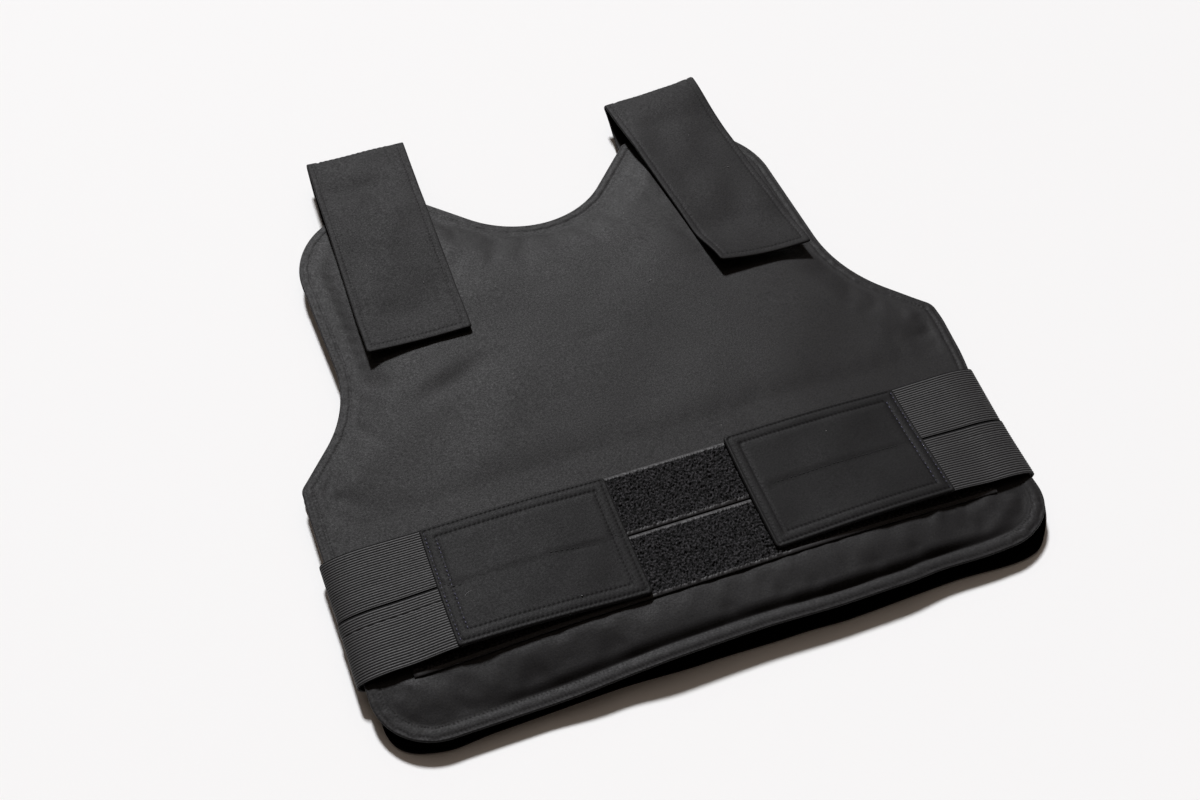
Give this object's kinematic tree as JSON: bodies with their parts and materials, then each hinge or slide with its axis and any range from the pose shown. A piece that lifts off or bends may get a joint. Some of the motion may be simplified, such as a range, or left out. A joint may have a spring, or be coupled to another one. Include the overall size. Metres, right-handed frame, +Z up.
{
  "type": "bulletproof vest",
  "caption": "Soft body armour vest lying flat: padded front and back panels, wide fold-over shoulder straps, and a side belt of ribbed elastic with stitched closing tabs.",
  "frame": {"origin": "middle of the footprint, on the surface that the back panel lies on", "axes": "+Z up through the panels, +Y from the hem to the neck, +X to the right as seen from above with the neck at the top"},
  "size_m": [0.5114, 0.5226, 0.0311],
  "materials": {
    "shell_cloth": "matt black fine-weave cover cloth with stitched edges",
    "ribbed_elastic": "ribbed black woven elastic",
    "loop_pile": "napped black loop tape with plain selvedges"
  },
  "bodies": {
    "root": {"front_panel": "shell_cloth", "back_panel": "shell_cloth", "loop_tape_upper": "loop_pile", "loop_tape_lower": "loop_pile", "tab_left": "shell_cloth", "tab_right": "shell_cloth", "elastic_left_upper": "ribbed_elastic", "elastic_left_lower": "ribbed_elastic", "elastic_right_upper": "ribbed_elastic", "elastic_right_lower": "ribbed_elastic", "shoulder_strap_left": "shell_cloth", "shoulder_strap_right": "shell_cloth"}
  },
  "joints": []
}
